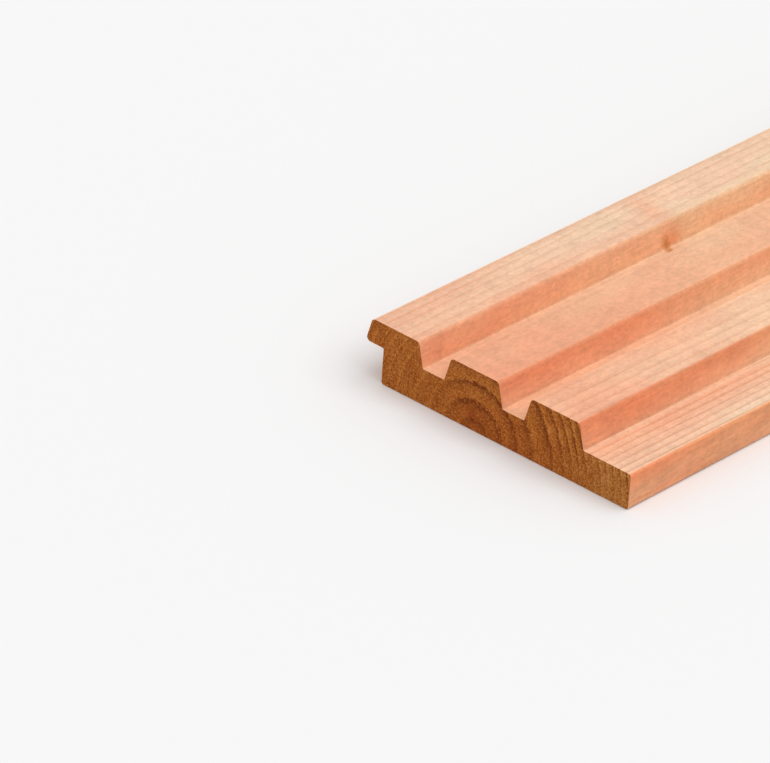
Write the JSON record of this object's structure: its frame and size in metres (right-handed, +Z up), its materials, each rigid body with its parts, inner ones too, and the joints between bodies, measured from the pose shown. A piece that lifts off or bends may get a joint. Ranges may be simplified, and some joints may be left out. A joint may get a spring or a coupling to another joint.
{
  "type": "rhombus cladding board",
  "caption": "Long softwood cladding board with raised slats, flat-bottomed grooves, a lapping lip along one edge and a flat flange along the other.",
  "frame": {"origin": "middle of the board's back, halfway along its length and halfway across its whole width", "axes": "+X along the board, +Y across it towards the lip, +Z up from the flat back to the slat faces"},
  "size_m": [3, 0.145, 0.028],
  "materials": {
    "softwood": "planed, untreated"
  },
  "bodies": {
    "root": {"board": "softwood"}
  },
  "joints": []
}
